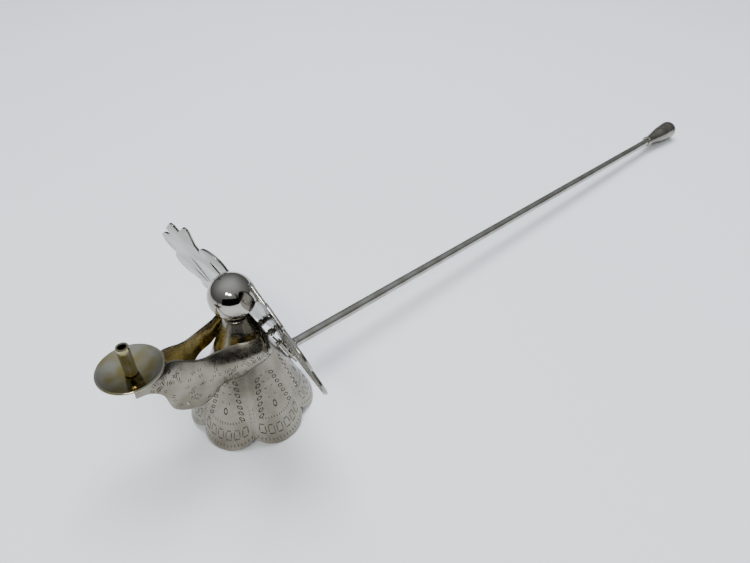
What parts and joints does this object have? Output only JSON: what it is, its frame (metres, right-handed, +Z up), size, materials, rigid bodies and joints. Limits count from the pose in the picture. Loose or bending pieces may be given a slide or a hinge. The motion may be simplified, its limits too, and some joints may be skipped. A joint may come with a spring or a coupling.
{
  "type": "candle snuffer",
  "caption": "Table candle snuffer: a hollow robed figure is the snuffing bell, hinged to a long straight handle that ends in a teardrop finial.",
  "frame": {"origin": "centre of the object's box, at the height of the table that the bell's rim and the finial rest on", "axes": "+Z up, the figure faces -Y, the handle lies along +Y, +X is the figure's left"},
  "size_m": [0.0718, 0.307, 0.0582],
  "materials": {
    "silver_plate": "satin silver plate on brass sheet",
    "polished_silver": "polished silver plate on brass",
    "steel": "plain steel"
  },
  "bodies": {
    "figure": {"robe_bell": "silver_plate", "head_ball": "polished_silver", "neck_washer": "steel", "neck_screw": "steel", "left_sleeve": "silver_plate", "right_sleeve": "silver_plate", "drip_dish": "polished_silver", "candle_tube": "polished_silver", "dish_stem": "polished_silver", "wing_plate": "silver_plate", "wing_rivet_left": "silver_plate", "wing_rivet_right": "silver_plate", "hinge_bracket": "silver_plate", "bracket_rivet_upper": "silver_plate", "bracket_rivet_lower": "silver_plate", "hinge_pin": "steel"},
    "handle": {"hinge_knuckle": "polished_silver", "handle_rod": "polished_silver", "finial_collar": "polished_silver", "finial": "polished_silver"}
  },
  "joints": [
    {"name": "handle_hinge", "type": "hinge", "parent": "figure", "child": "handle", "pos_m": [0, -0.10003, 0.0137], "axis": [1, 0, 0], "range_deg": [-12, 62]}
  ]
}
